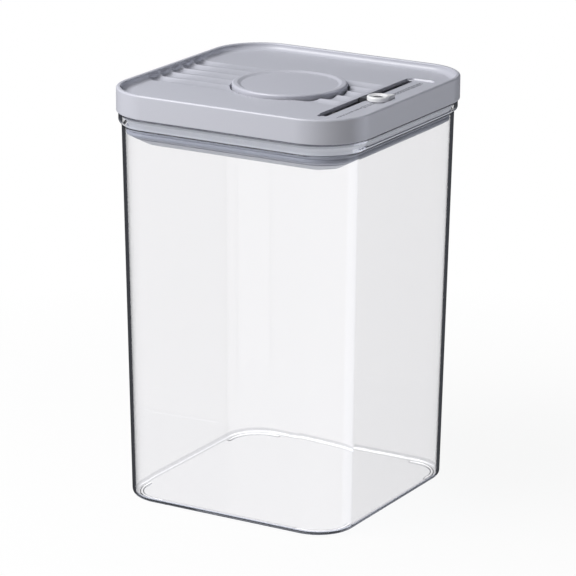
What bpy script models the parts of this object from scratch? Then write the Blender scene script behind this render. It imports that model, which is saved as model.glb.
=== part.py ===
# Push-button storage canister: a clear square container with a grey lid. Pressing the
# round button spreads four slides behind the rim seal; a second press lets it pop up.
# A white slider on the lid marks a date. Metres, +Z up, origin under the middle of the
# base, front of the canister towards -Y, date scale on the +X side.

import math

import bmesh
import bpy
from mathutils import Vector

# Container
container_height = 0.1581
base_width = 0.0994
shoulder_width = 0.1040
body_corner_radius = 0.0159
collar_corner_radius = 0.0205
flare_width = 0.0022
flare_height = 0.0022
collar_height = 0.0030
wall = 0.0014
floor_thickness = 0.0015
base_round = 0.0024
floor_round = 0.0016
rim_edge_round = 0.0004
foot_height = 0.0006
foot_width = 0.0016
foot_inset = 0.0030
foot_straight = 0.0034

# Lid cover
lid_overhang = 0.0008
lid_height = 0.0097
lid_wall = 0.0018
lid_plate = 0.0026
lid_edge_round = 0.0008
skirt_edge_round = 0.0003
tray_depth = 0.00285
tray_rim_width = 0.0018
tray_edge_round = 0.0005
tray_fillet = 0.0022

# Flutes across the tray
flute_count = 5
flute_pitch = 0.0083
flute_depth = 0.0010
flute_fade = 0.0047
flute_end_gap = 0.0010
flute_air = 0.0010
flute_skin = 0.00010

# Date scale pocket, slot and slider
scale_width = 0.0122
scale_side_gap = 0.0061
scale_boss_gap = 0.0011
scale_depth = 0.00065
scale_corner_radius = 0.0015
scale_lap = 0.0005
slot_width = 0.0030
slot_end_margin = 0.0038
slot_end_round = 0.0008
knob_y = -0.0010
knob_radius = 0.0045
knob_slot_gap = 0.0001
knob_height = 0.0019
knob_edge_round = 0.0006
knob_dish_depth = 0.0004
knob_dish_radius = 0.0034
knob_hole_radius = 0.0019
knob_tip_x = 0.0045
knob_tip_y = 0.0060
knob_tip_height = 0.0014
clip_length = 0.0050
clip_lap = 0.0022
clip_left_share = 0.24
clip_plate = 0.0011
clip_arm = 0.0006
clip_reach = 0.0014

# Button
button_radius = 0.0227
button_stand = 0.00175
button_wall = 0.0016
button_lip_width = 0.0027
button_dish_depth = 0.0007
button_edge_round = 0.0010
button_crown = 0.0016
button_lift = 0.0060
button_overpress = 0.0015
button_gap = 0.0008
skirt_margin = 0.00135
stem_plate = 0.0012
stem_plate_gap = 0.0007
stem_radius = 0.0050
spigot_radius = 0.0036
crown_height = 0.0007
cam_height = 0.0024
cam_slope_share = 0.15
cam_spigot_height = 0.0024
cam_spigot_wall = 0.0014

# Push-push latch under the button
latch_step_count = 8
sleeve_bore = 0.0084
sleeve_wall = 0.0016
sleeve_rib_height = 0.0015
sleeve_flange_width = 0.0020
sleeve_flange = 0.0011
sleeve_lip_gap = 0.0004
sleeve_top_gap = 0.0004
rib_width_share = 0.4
rotor_height = 0.0018
washer_radius = 0.0052
washer_thickness = 0.0006
rotor_screw_radius = 0.0012
rotor_screw_head_radius = 0.0024
rotor_screw_head = 0.0010
rotor_screw_length = 0.0070
spring_slack = 0.0020
spring_wire = 0.0012
spring_turns = 5
spring_points_per_turn = 10

# Plug under the lid
plug_depth = 0.0125
housing_wall = 0.0018
flange_drop = 0.0030
flange_chamfer = 0.0015
seal_depth = 0.00275
seal_lip_depth = 0.0004
cover_inset = 0.0023
cover_thickness = 0.0033
cover_slope_run = 0.0053
cover_slope_rise = 0.0031
cover_low_corner_radius = 0.0080
cover_skin = 0.0014
cover_pocket_half = 0.0385
cover_pocket_corner_radius = 0.0050
spring_ring_wall = 0.0006
spring_ring_height = 0.0009
rail_width = 0.0010
rail_height = 0.0012
rail_start_gap = 0.0003
rail_end_gap = 0.0023

# Screws and their bosses
boss_inset = 0.0062
boss_radius = 0.0030
well_radius = 0.0043
well_height = 0.0021
screw_radius = 0.0012
screw_head_radius = 0.0027
screw_head = 0.0016
screw_sink = 0.0022
screw_edge_round = 0.0003
screw_length = 0.0100
screw_hole_margin = 0.0010

# Seal slides
slide_bar_depth = 0.0030
slide_bar_clear = 0.0008
slide_end_gap = 0.0063
slide_arm_width = 0.0120
slide_block_depth = 0.0042
slide_seal_gap = 0.00055

# Fits and overruns
fit_gap = 0.0003
running_gap = 0.0005
overrun = 0.0010
union_lap = 0.0005
merge_distance = 0.000001

# Facets
corner_steps = 8
round_steps = 3
tray_steps = 4
flute_climb_steps = 3
button_segments = 48
small_segments = 24
screw_segments = 12
flute_steps = 6
cam_steps = 4
lip_steps = 4

# Levels worked out from the sizes above
shoulder_level = container_height - collar_height - flare_height
collar_bottom = container_height - collar_height
lid_bottom = container_height + fit_gap
lid_top = lid_bottom + lid_height
tray_floor = lid_top - tray_depth
plate_under = tray_floor - lid_plate
plug_bottom = lid_bottom - plug_depth
cover_top = plug_bottom + cover_thickness
cover_pocket_floor = plug_bottom + cover_skin
seal_bottom = cover_top + fit_gap
flange_bottom = container_height - flange_drop
groove_top = flange_bottom - flange_chamfer
button_top = tray_floor + button_stand
button_under = button_top - button_dish_depth - button_crown
skirt_bottom = plate_under - button_lift - skirt_margin
cam_top = skirt_bottom - fit_gap
cam_bottom = cam_top - cam_height
stem_top = button_under - fit_gap
stem_under = stem_top - stem_plate
sleeve_top = stem_under - button_overpress - sleeve_top_gap
screw_head_low = cover_top + button_overpress + fit_gap
washer_low = screw_head_low + rotor_screw_head + fit_gap
washer_top = washer_low + washer_thickness
rotor_low = washer_top + fit_gap
rotor_top = rotor_low + rotor_height
rib_bottom = rotor_top + fit_gap
stem_bottom = rotor_top + fit_gap
spring_bottom = cover_top + fit_gap
spring_top = stem_under - fit_gap
well_top = cover_top + well_height
boss_bottom = well_top + fit_gap
screw_top = plug_bottom + screw_sink + screw_head + screw_length
fin_top = rotor_top - crown_height
lip_bottom = fin_top + button_lift + sleeve_lip_gap
clip_foot_top = plate_under - fit_gap
clip_foot_low = clip_foot_top - clip_plate
ramp_top = clip_foot_low - running_gap
scale_floor = tray_floor - scale_depth
knob_bottom = scale_floor + fit_gap
knob_top = knob_bottom + knob_height

# Half widths, radii and places worked out from the sizes above
base_half = base_width / 2
shoulder_half = shoulder_width / 2
collar_half = shoulder_half + flare_width
neck_half = collar_half - wall
neck_corner_radius = collar_corner_radius - wall
body_taper = (shoulder_half - base_half) / (shoulder_level - foot_height - base_round)
lid_half = collar_half + lid_overhang
lid_corner_radius = collar_corner_radius + lid_overhang
tray_half = lid_half - tray_rim_width
seal_half = shoulder_half - body_taper * (shoulder_level - seal_bottom) - wall - fit_gap
seal_corner_radius = body_corner_radius - wall - fit_gap
seal_inner_half = seal_half - seal_depth
seal_valley_half = seal_half - seal_lip_depth
housing_half = seal_inner_half - fit_gap
housing_inner_half = housing_half - housing_wall
flange_half = neck_half - running_gap
flange_corner_radius = neck_corner_radius - running_gap
cover_half = seal_half - cover_inset
boss_place = housing_inner_half - boss_inset
slide_half = boss_place - well_radius - slide_end_gap
slide_bar_outer = seal_inner_half - slide_seal_gap
slide_bar_inner = slide_bar_outer - slide_bar_depth
slide_bar_height = groove_top - seal_bottom - slide_bar_clear
scale_half = boss_place - scale_boss_gap
scale_right = tray_half - tray_fillet - scale_side_gap
slot_left = scale_right - scale_width
slot_right = slot_left + slot_width
slot_half = scale_half - slot_end_margin
knob_x = slot_right + knob_slot_gap + knob_radius
clip_arm_end = knob_x - knob_radius + clip_reach
flute_end = slot_left - flute_end_gap
flute_fade_start = flute_end - flute_fade
button_inner_radius = button_radius - button_wall
button_hole_radius = button_radius + button_gap
clip_left_lap = clip_left_share * (slot_left - button_hole_radius)
stem_plate_radius = button_inner_radius - stem_plate_gap
sleeve_radius = sleeve_bore + sleeve_wall
sleeve_rib_bore = sleeve_bore - sleeve_rib_height
sleeve_flange_radius = sleeve_radius + sleeve_flange_width
rotor_radius = sleeve_rib_bore - running_gap
rotor_fin_radius = sleeve_bore - running_gap
rotor_bore = spigot_radius + fit_gap
spring_ring_inner = sleeve_flange_radius + fit_gap
spring_ring_outer = spring_ring_inner + spring_ring_wall
spring_radius = spring_ring_outer + spring_slack + spring_wire / 2
spring_seat_radius = spring_radius + spring_wire

grey = (0.53, 0.55, 0.60)
pale_grey = (0.60, 0.61, 0.66)
seal_grey = (0.42, 0.44, 0.50)
white = (0.88, 0.88, 0.87)
steel = (0.62, 0.62, 0.63)
dark_grey = (0.20, 0.20, 0.22)
clear = (0.93, 0.95, 0.97)


def clear_scene():
    for item in list(bpy.data.objects):
        bpy.data.objects.remove(item, do_unlink=True)


def make_material(name, colour, roughness, metallic=0.0, transmission=0.0):
    material = bpy.data.materials.new(name)
    material.use_nodes = True
    shader = material.node_tree.nodes["Principled BSDF"]
    shader.inputs["Base Color"].default_value = (*colour, 1.0)
    shader.inputs["Roughness"].default_value = roughness
    shader.inputs["Metallic"].default_value = metallic
    shader.inputs["Transmission Weight"].default_value = transmission
    return material


def make_empty(name, place, parent=None):
    empty = bpy.data.objects.new(name, None)
    bpy.context.collection.objects.link(empty)
    set_parent(empty, place, parent)
    return empty


def world_place(item):
    place = Vector(item.location)
    while item.parent:
        item = item.parent
        place += item.location
    return place


def set_parent(item, place, parent):
    item.location = Vector(place)
    if parent:
        item.location -= world_place(parent)
        item.parent = parent


# Turns a mesh drawn in world places into an object whose origin is its parent's place.
def make_object(name, mesh_data, material=None, parent=None):
    bmesh.ops.recalc_face_normals(mesh_data, faces=mesh_data.faces)
    place = world_place(parent) if parent else Vector((0.0, 0.0, 0.0))
    bmesh.ops.translate(mesh_data, verts=mesh_data.verts, vec=-place)
    mesh = bpy.data.meshes.new(name)
    mesh_data.to_mesh(mesh)
    mesh_data.free()
    mesh.shade_smooth()
    mesh.set_sharp_from_angle(angle=math.radians(35))
    item = bpy.data.objects.new(name, mesh)
    bpy.context.collection.objects.link(item)
    set_parent(item, place, parent)
    if material:
        mesh.materials.append(material)
    return item


def boolean(target, name, mesh_data, operation):
    tool = make_object(name, mesh_data, parent=target.parent)
    tool.hide_render = True
    tool.display_type = "WIRE"
    modifier = target.modifiers.new(name, "BOOLEAN")
    modifier.operation = operation
    modifier.solver = "EXACT"
    modifier.object = tool


# Points of a rounded square, anticlockwise from above.
def square_ring(half, radius, level):
    points = []
    for quarter, (sign_x, sign_y) in enumerate(((1, 1), (-1, 1), (-1, -1), (1, -1))):
        for step in range(corner_steps + 1):
            angle = math.radians(90 * (quarter + step / corner_steps))
            x = sign_x * (half - radius) + radius * math.cos(angle)
            y = sign_y * (half - radius) + radius * math.sin(angle)
            points.append((x, y, level))
    return points


# Joins rings of points in turn; both ends are capped, or the last ring meets the first.
def loft(rings, looped=False):
    mesh_data = bmesh.new()
    loops = [[mesh_data.verts.new(point) for point in ring] for ring in rings]
    pairs = list(zip(loops, loops[1:]))
    if looped:
        pairs.append((loops[-1], loops[0]))
    for lower, upper in pairs:
        count = len(lower)
        for index in range(count):
            following = (index + 1) % count
            mesh_data.faces.new((lower[index], lower[following], upper[following], upper[index]))
    if not looped:
        mesh_data.faces.new(reversed(loops[0]))
        mesh_data.faces.new(loops[-1])
    return mesh_data


# Turns a closed outline of (radius, level) points round a vertical line.
def turned(outline, segments, centre=(0.0, 0.0)):
    mesh_data = bmesh.new()
    add_turned(mesh_data, outline, segments, centre)
    return mesh_data


def add_turned(mesh_data, outline, segments, centre=(0.0, 0.0)):
    profile = [mesh_data.verts.new((centre[0] + radius, centre[1], level)) for radius, level in outline]
    edges = [mesh_data.edges.new(pair) for pair in zip(profile, profile[1:] + profile[:1])]
    on_axis = [edge for edge, pair in zip(edges, zip(outline, outline[1:] + outline[:1]))
               if pair[0][0] == 0.0 and pair[1][0] == 0.0]
    bmesh.ops.delete(mesh_data, geom=on_axis, context="EDGES_FACES")
    edges = [edge for edge in edges if edge.is_valid]
    before = set(mesh_data.verts)
    bmesh.ops.spin(mesh_data, geom=profile + edges, cent=(centre[0], centre[1], 0.0), axis=(0.0, 0.0, 1.0),
                   angle=math.tau, steps=segments, use_merge=True)
    fresh = [vert for vert in mesh_data.verts if vert not in before]
    bmesh.ops.remove_doubles(mesh_data, verts=profile + fresh, dist=merge_distance)


# The outline of a plain rod or bore, for turning.
def rod_outline(radius, low, high):
    return [(0.0, low), (radius, low), (radius, high), (0.0, high)]


# Raises a flat outline of (x, y) points between two levels.
def add_prism(mesh_data, outline, low, high):
    floor = mesh_data.faces.new([mesh_data.verts.new((x, y, low)) for x, y in outline])
    raised = bmesh.ops.extrude_face_region(mesh_data, geom=[floor])["geom"]
    top = [item for item in raised if isinstance(item, bmesh.types.BMVert)]
    bmesh.ops.translate(mesh_data, verts=top, vec=(0.0, 0.0, high - low))


def prism(outline, low, high):
    mesh_data = bmesh.new()
    add_prism(mesh_data, outline, low, high)
    return mesh_data


def box_outline(left, right, front, back):
    return [(left, front), (right, front), (right, back), (left, back)]


def rounded_box_outline(left, right, front, back, radius):
    outline = []
    corners = ((right, back, 1, 1), (left, back, -1, 1), (left, front, -1, -1), (right, front, 1, -1))
    for quarter, (x, y, sign_x, sign_y) in enumerate(corners):
        for step in range(round_steps + 1):
            angle = math.radians(90 * (quarter + step / round_steps))
            outline.append((x - sign_x * radius + radius * math.cos(angle),
                            y - sign_y * radius + radius * math.sin(angle)))
    return outline


# Points of a quarter circle from one direction to another, both in degrees.
def arc(centre_r, centre_z, radius, start, end, steps=round_steps):
    points = []
    for step in range(steps + 1):
        angle = math.radians(start + (end - start) * step / steps)
        points.append((centre_r + radius * math.cos(angle), centre_z + radius * math.sin(angle)))
    return points


def make_container(material):
    inner_floor = foot_height + floor_thickness
    inner_base_half = shoulder_half - body_taper * (shoulder_level - inner_floor - floor_round) - wall
    inner_corner = body_corner_radius - wall
    rings = []
    for half, level in arc(base_half - base_round, foot_height + base_round, base_round, -90, 0):
        rings.append(square_ring(half, body_corner_radius - base_half + half, level))
    rings.append(square_ring(shoulder_half, body_corner_radius, shoulder_level))
    rings.append(square_ring(collar_half, collar_corner_radius, collar_bottom))
    rim_centre = (collar_half - rim_edge_round, container_height - rim_edge_round)
    for half, level in arc(*rim_centre, rim_edge_round, 0, 90, 2):
        rings.append(square_ring(half, collar_corner_radius - collar_half + half, level))
    rings.append(square_ring(neck_half, neck_corner_radius, container_height))
    rings.append(square_ring(neck_half, neck_corner_radius, collar_bottom - fit_gap))
    rings.append(square_ring(shoulder_half - wall, inner_corner, shoulder_level - fit_gap))
    for half, level in arc(inner_base_half - floor_round, inner_floor + floor_round, floor_round, 0, -90):
        rings.append(square_ring(half, inner_corner - inner_base_half + half, level))
    container = make_object("container", loft(rings), material)

    feet = bmesh.new()
    outer = base_half - foot_inset
    radius = body_corner_radius - foot_inset
    for sign_x, sign_y in ((1, 1), (-1, 1), (-1, -1), (1, -1)):
        centre = outer - radius
        outline = foot_outline(outer, radius, centre)
        outline = [(sign_x * x, sign_y * y) for x, y in outline]
        if sign_x * sign_y < 0:
            outline.reverse()
        add_prism(feet, outline, 0.0, foot_height + union_lap)
    boolean(container, "container_feet", feet, "UNION")
    return container


# One corner foot: a band that follows the corner, with a short straight run each side.
def foot_outline(outer, radius, centre):
    inner = outer - foot_width
    start = centre - foot_straight
    outline = [(outer, start)]
    outline += arc(centre, centre, radius, 0, 90, corner_steps)
    outline += [(start, outer), (start, inner)]
    outline += arc(centre, centre, radius - foot_width, 90, 0, corner_steps)
    outline.append((inner, start))
    return outline


# The tray wall as (half width, level) points, from the rim down to the floor.
def tray_profile():
    top = arc(tray_half + tray_edge_round, lid_top - tray_edge_round, tray_edge_round, 90, 180)
    fillet = arc(tray_half - tray_fillet, tray_floor + tray_fillet, tray_fillet, 0, -90, tray_steps)
    return top + fillet


def make_lid_cover(material, parent):
    inner = lid_half - lid_wall
    profile = [(inner, plate_under), (inner, lid_bottom)]
    profile += arc(lid_half - skirt_edge_round, lid_bottom + skirt_edge_round, skirt_edge_round, -90, 0, 1)
    profile += arc(lid_half - lid_edge_round, lid_top - lid_edge_round, lid_edge_round, 0, 90)
    profile += tray_profile()
    rings = [square_ring(half, lid_corner_radius - lid_half + half, level) for half, level in profile]
    lid = make_object("lid_cover", loft(rings), material, parent)

    bosses = bmesh.new()
    bore = screw_radius + fit_gap
    bore_top = screw_top + screw_hole_margin
    boss_top = plate_under + union_lap
    boss = [(bore, boss_bottom), (boss_radius, boss_bottom), (boss_radius, boss_top), (0.0, boss_top),
            (0.0, bore_top), (bore, bore_top)]
    for place in boss_places():
        add_turned(bosses, boss, small_segments, place)
    boolean(lid, "lid_bosses", bosses, "UNION")
    boolean(lid, "lid_flutes", flute_cutter(), "DIFFERENCE")
    hole = rod_outline(button_hole_radius, plate_under - overrun, lid_top)
    boolean(lid, "lid_button_hole", turned(hole, button_segments), "DIFFERENCE")
    pocket = rounded_box_outline(slot_left + scale_lap, scale_right, -scale_half, scale_half,
                                 scale_corner_radius)
    boolean(lid, "lid_scale_pocket", prism(pocket, scale_floor, lid_top + overrun), "DIFFERENCE")
    slot = rounded_box_outline(slot_left, slot_right, -slot_half, slot_half, slot_end_round)
    boolean(lid, "lid_slot", prism(slot, plate_under - overrun, lid_top + overrun), "DIFFERENCE")
    return lid


def boss_places():
    return [(x * boss_place, y * boss_place) for x, y in ((1, 1), (-1, 1), (-1, -1), (1, -1))]


# Scalloped flutes along X that also climb the left tray wall and fade out before the slot.
def flute_cutter():
    width = flute_count * flute_pitch
    count = flute_count * flute_steps
    rings = []
    for index in range(count + 1):
        across = index / flute_steps
        place = 2 * (across - math.floor(across)) - 1
        depth = flute_depth * (1 - place * place) - flute_skin
        y = -width / 2 + width * index / count
        rings.append([(x, y, level) for x, level in flute_path(depth)])
    return loft(rings)


def flute_path(depth):
    centre = tray_half - tray_fillet
    path = [(flute_end, tray_floor + flute_skin), (flute_fade_start, tray_floor - depth)]
    for step in range(flute_climb_steps + 1):
        share = step / flute_climb_steps
        angle = math.radians(-90 + 90 * (step + 1 / 2) / tray_steps)
        reach = tray_fillet + depth * (1 - share) - flute_skin * share
        level = tray_floor + tray_fillet + reach * math.sin(angle)
        path.append((-centre - reach * math.cos(angle), level))
    path.append((-centre, level))
    path.append((-centre + tray_fillet, tray_floor + flute_air))
    path.append((flute_end, tray_floor + flute_air))
    return path


def make_housing(material, parent):
    offset = seal_corner_radius - seal_half
    inner_flange_half = flange_half - housing_wall
    inner_flange_corner = flange_corner_radius - housing_wall
    step_half = flange_half - flange_chamfer
    top = plate_under - fit_gap
    rings = [
        square_ring(housing_inner_half, offset + housing_inner_half, seal_bottom),
        square_ring(housing_half, offset + housing_half, seal_bottom),
        square_ring(housing_half, offset + housing_half, groove_top),
        square_ring(seal_valley_half, offset + seal_valley_half, groove_top),
        square_ring(step_half, flange_corner_radius - flange_chamfer, flange_bottom - fit_gap),
        square_ring(flange_half, flange_corner_radius, flange_bottom + flange_chamfer - fit_gap),
        square_ring(flange_half, flange_corner_radius, top),
        square_ring(inner_flange_half, inner_flange_corner, top),
        square_ring(inner_flange_half, inner_flange_corner, flange_bottom + flange_chamfer),
        square_ring(housing_inner_half, offset + housing_inner_half, groove_top + housing_wall),
    ]
    housing = make_object("plug_housing", loft(rings, looped=True), material, parent)
    windows = bmesh.new()
    half_window = slide_half + 2 * running_gap
    window = box_outline(housing_inner_half - overrun, housing_half + overrun, -half_window, half_window)
    for quarter in range(4):
        outline = [turn_quarter(point, quarter) for point in window]
        add_prism(windows, outline, seal_bottom - overrun, seal_bottom + slide_bar_height + fit_gap)
    boolean(housing, "housing_windows", windows, "DIFFERENCE")
    return housing


def turn_quarter(point, quarter):
    x, y = point
    for _ in range(quarter):
        x, y = -y, x
    return (x, y)


# A soft ring with two rounded lips that meet the container wall.
def make_seal(material, parent):
    top = groove_top - fit_gap
    offset = seal_corner_radius - seal_half
    rings = []
    for step in range(2 * lip_steps + 1):
        reach = abs(math.sin(math.pi * step / lip_steps))
        half = seal_valley_half + seal_lip_depth * reach
        level = seal_bottom + (top - seal_bottom) * step / (2 * lip_steps)
        rings.append(square_ring(half, offset + half, level))
    rings.append(square_ring(seal_inner_half, offset + seal_inner_half, top))
    rings.append(square_ring(seal_inner_half, offset + seal_inner_half, seal_bottom))
    return make_object("perimeter_seal", loft(rings, looped=True), material, parent)


# A shallow dish under the plug, hollow above its skin but for the seats that stand in it.
def make_bottom_cover(material, parent):
    edge_corner_radius = seal_corner_radius - seal_half + cover_half
    rings = [
        square_ring(cover_half - cover_slope_run, cover_low_corner_radius, plug_bottom),
        square_ring(cover_half, edge_corner_radius, plug_bottom + cover_slope_rise),
        square_ring(cover_half, edge_corner_radius, cover_top),
    ]
    cover = make_object("bottom_cover", loft(rings), material, parent)
    pocket = [square_ring(cover_pocket_half, cover_pocket_corner_radius, level)
              for level in (cover_pocket_floor, cover_top + overrun)]
    boolean(cover, "cover_pocket", loft(pocket), "DIFFERENCE")

    raised = bmesh.new()
    low = cover_pocket_floor - union_lap
    for place in boss_places():
        add_turned(raised, rod_outline(well_radius, low, well_top), small_segments, place)
    ring_top = cover_top + spring_ring_height
    add_turned(raised, [(0.0, low), (spring_seat_radius, low), (spring_seat_radius, cover_top),
                        (spring_ring_outer, cover_top), (spring_ring_outer, ring_top),
                        (spring_ring_inner, ring_top), (spring_ring_inner, cover_top), (0.0, cover_top)],
               small_segments)
    near = slide_arm_width / 2 + running_gap
    rail_start = ramp_radius(plate_under) + slide_block_depth + rail_start_gap
    rail_end = slide_bar_inner - rail_end_gap
    for quarter in range(4):
        for side in (-1, 1):
            edges = sorted((side * near, side * (near + rail_width)))
            outline = [turn_quarter(point, quarter) for point in box_outline(rail_start, rail_end, *edges)]
            add_prism(raised, outline, low, cover_top + rail_height)
    boolean(cover, "cover_raised_parts", raised, "UNION")

    holes = bmesh.new()
    seat = plug_bottom + screw_sink + screw_head + fit_gap
    head = screw_head_radius + running_gap
    shank = screw_radius + running_gap
    for place in boss_places():
        add_turned(holes, [(0.0, plug_bottom - overrun), (head, plug_bottom - overrun), (head, seat),
                           (shank, seat), (shank, well_top + overrun), (0.0, well_top + overrun)],
                   small_segments, place)
    boolean(cover, "cover_screw_holes", holes, "DIFFERENCE")
    return cover


def make_cover_screws(material, parent):
    low = plug_bottom + screw_sink
    crown = low + screw_head
    outline = [(0.0, low)]
    outline += arc(screw_head_radius - screw_edge_round, low + screw_edge_round, screw_edge_round, -90, 0, 2)
    outline += [(screw_head_radius, crown), (screw_radius, crown), (screw_radius, screw_top - screw_radius),
                (0.0, screw_top)]
    for number, place in enumerate(boss_places(), 1):
        make_object("cover_screw_%d" % number, turned(outline, screw_segments, place), material, parent)


def make_button_cap(material, parent):
    dish_radius = button_radius - button_lip_width
    dish_level = button_top - button_dish_depth
    outline = [(0.0, dish_level), (dish_radius - button_dish_depth, dish_level), (dish_radius, button_top)]
    edge_centre = (button_radius - button_edge_round, button_top - button_edge_round)
    outline += arc(*edge_centre, button_edge_round, 90, 0)
    outline += [(button_radius, skirt_bottom), (button_inner_radius, skirt_bottom),
                (button_inner_radius, button_under), (0.0, button_under)]
    return make_object("button_cap", turned(outline, button_segments), material, parent)


def make_button_stem(material, parent):
    outline = [(0.0, stem_top), (stem_plate_radius, stem_top), (stem_plate_radius, stem_under),
               (stem_radius, stem_under), (stem_radius, stem_bottom + crown_height),
               (spigot_radius, stem_bottom + crown_height), (spigot_radius, washer_top + fit_gap),
               (0.0, washer_top + fit_gap)]
    stem = make_object("button_stem", turned(outline, small_segments), material, parent)
    crown = crown_ring(stem_bottom, stem_bottom + crown_height + union_lap, -1)
    boolean(stem, "stem_crown", crown, "UNION")
    hole_top = washer_low + rotor_screw_length + screw_hole_margin
    hole = rod_outline(rotor_screw_radius + fit_gap, washer_low - overrun, hole_top)
    boolean(stem, "stem_screw_hole", turned(hole, screw_segments), "DIFFERENCE")
    return stem


# A ring of ramp teeth round the rotor's bore; they point down when side is -1 and up when it is 1.
def crown_ring(low, high, side):
    rings = []
    count = latch_step_count * 2
    for index in range(count):
        angle = math.tau * index / count
        tip = index % 2 == 0
        bottom = low if side > 0 or tip else low + crown_height
        top = high if side < 0 or tip else high - crown_height
        corners = ((rotor_bore, bottom), (stem_radius, bottom), (stem_radius, top), (rotor_bore, top))
        rings.append([(radius * math.cos(angle), radius * math.sin(angle), level)
                      for radius, level in corners])
    return loft(rings, looped=True)


def make_cam_ring(material, parent):
    outer_low = button_radius - cam_slope_share * cam_height
    spigot_outer = button_inner_radius - fit_gap
    spigot_inner = spigot_outer - cam_spigot_wall
    spigot_top = cam_top + cam_spigot_height
    outline = [(spigot_inner, cam_bottom), (outer_low, cam_bottom), (button_radius, cam_top),
               (spigot_outer, cam_top), (spigot_outer, spigot_top), (spigot_inner, spigot_top)]
    return make_object("cam_ring", turned(outline, button_segments), material, parent)


# The corners of rib or fin number index, which spans two radii at one step of the latch.
def rib_outline(inner, outer, index):
    pitch = math.tau / latch_step_count
    start = pitch * (index - rib_width_share / 2)
    end = pitch * (index + rib_width_share / 2)
    corners = ((inner, start), (outer, start), (outer, end), (inner, end))
    return [(radius * math.cos(angle), radius * math.sin(angle)) for radius, angle in corners]


# A ribbed tube; the lip at its top stops the rotor's fins when the button is up.
def make_latch_sleeve(material, parent):
    low = cover_top + fit_gap
    flange_top = low + sleeve_flange
    outline = [(sleeve_bore, low), (sleeve_flange_radius, low), (sleeve_flange_radius, flange_top),
               (sleeve_radius, flange_top), (sleeve_radius, sleeve_top), (sleeve_rib_bore, sleeve_top),
               (sleeve_rib_bore, lip_bottom), (sleeve_bore, lip_bottom)]
    sleeve = make_object("latch_sleeve", turned(outline, latch_step_count * 4), material, parent)
    ribs = bmesh.new()
    for index in range(latch_step_count):
        outline = rib_outline(sleeve_rib_bore, sleeve_bore + union_lap, index)
        add_prism(ribs, outline, rib_bottom, (lip_bottom + sleeve_top) / 2)
    boolean(sleeve, "sleeve_ribs", ribs, "UNION")
    return sleeve


# At rest the fins lie under the sleeve's channels, half a step round from its ribs.
def make_latch_rotor(material, parent):
    hub = [(rotor_bore, rotor_low), (rotor_radius, rotor_low), (rotor_radius, fin_top), (rotor_bore, fin_top)]
    rotor = make_object("latch_rotor", turned(hub, latch_step_count * 4), material, parent)
    fins = bmesh.new()
    for index in range(latch_step_count):
        outline = rib_outline(rotor_radius - union_lap, rotor_fin_radius, index + 1 / 2)
        add_prism(fins, outline, rotor_low, fin_top)
    boolean(rotor, "rotor_fins", fins, "UNION")
    crown = crown_ring(rotor_low + crown_height / 2, rotor_top, 1)
    boolean(rotor, "rotor_crown", crown, "UNION")
    return rotor


def make_rotor_washer(material, parent):
    bore = rotor_screw_radius + fit_gap
    outline = [(bore, washer_low), (washer_radius, washer_low), (washer_radius, washer_top),
               (bore, washer_top)]
    return make_object("rotor_washer", turned(outline, small_segments), material, parent)


def make_rotor_screw(material, parent):
    crown = screw_head_low + rotor_screw_head
    top = washer_low + rotor_screw_length
    outline = [(0.0, screw_head_low)]
    head_edge = (rotor_screw_head_radius - screw_edge_round, screw_head_low + screw_edge_round)
    outline += arc(*head_edge, screw_edge_round, -90, 0, 2)
    outline += [(rotor_screw_head_radius, crown), (rotor_screw_radius, crown),
                (rotor_screw_radius, top - rotor_screw_radius), (0.0, top)]
    return make_object("rotor_screw", turned(outline, screw_segments), material, parent)


# The return spring: one round wire wound at an even pitch round the latch sleeve.
def make_return_spring(material, parent):
    low = spring_bottom + spring_wire / 2
    high = spring_top - spring_wire / 2
    count = spring_turns * spring_points_per_turn
    curve = bpy.data.curves.new("return_spring", "CURVE")
    curve.dimensions = "3D"
    curve.bevel_depth = spring_wire / 2
    curve.bevel_resolution = 1
    curve.use_fill_caps = True
    spline = curve.splines.new("POLY")
    spline.points.add(count)
    place = world_place(parent)
    for index, point in enumerate(spline.points):
        angle = math.tau * index / spring_points_per_turn
        level = low + (high - low) * index / count
        spot = Vector((spring_radius * math.cos(angle), spring_radius * math.sin(angle), level)) - place
        point.co = (*spot, 1.0)
    gap = (high - low) / spring_turns - spring_wire
    print("return spring: least gap between turns %.2f mm" % (gap * 1000))
    spring = bpy.data.objects.new("return_spring", curve)
    bpy.context.collection.objects.link(spring)
    set_parent(spring, place, parent)
    curve.materials.append(material)
    return spring


# Radius of a slide's ramp at a level: it leans outwards and follows the cam ring's cone.
def ramp_radius(level):
    return button_radius + fit_gap + cam_slope_share * (level - cam_top)


# One seal slide drawn towards +X and turned to its side.
def make_seal_slide(name, quarter, material, parent):
    half_arm = slide_arm_width / 2
    block_outer = ramp_radius(plate_under) + slide_block_depth
    arm_start = block_outer - overrun
    outline = [(arm_start, -half_arm), (slide_bar_inner, -half_arm), (slide_bar_inner, -slide_half),
               (slide_bar_outer, -slide_half), (slide_bar_outer, slide_half), (slide_bar_inner, slide_half),
               (slide_bar_inner, half_arm), (arm_start, half_arm)]
    outline = [turn_quarter(point, quarter) for point in outline]
    slide = make_object(name, prism(outline, seal_bottom, seal_bottom + slide_bar_height), material, parent)
    block = loft([block_ring(level, block_outer, quarter) for level in (seal_bottom, ramp_top)])
    boolean(slide, name + "_ramp", block, "UNION")
    return slide


# The block at a slide's inner end: its inner face is curved to the cam ring.
def block_ring(level, outer, quarter):
    half_arm = slide_arm_width / 2
    radius = ramp_radius(level)
    swing = math.asin(half_arm / radius)
    points = []
    for step in range(cam_steps + 1):
        angle = swing - 2 * swing * step / cam_steps
        points.append((radius * math.cos(angle), radius * math.sin(angle)))
    points += [(outer, -half_arm), (outer, half_arm)]
    return [(*turn_quarter(point, quarter), level) for point in points]


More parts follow.
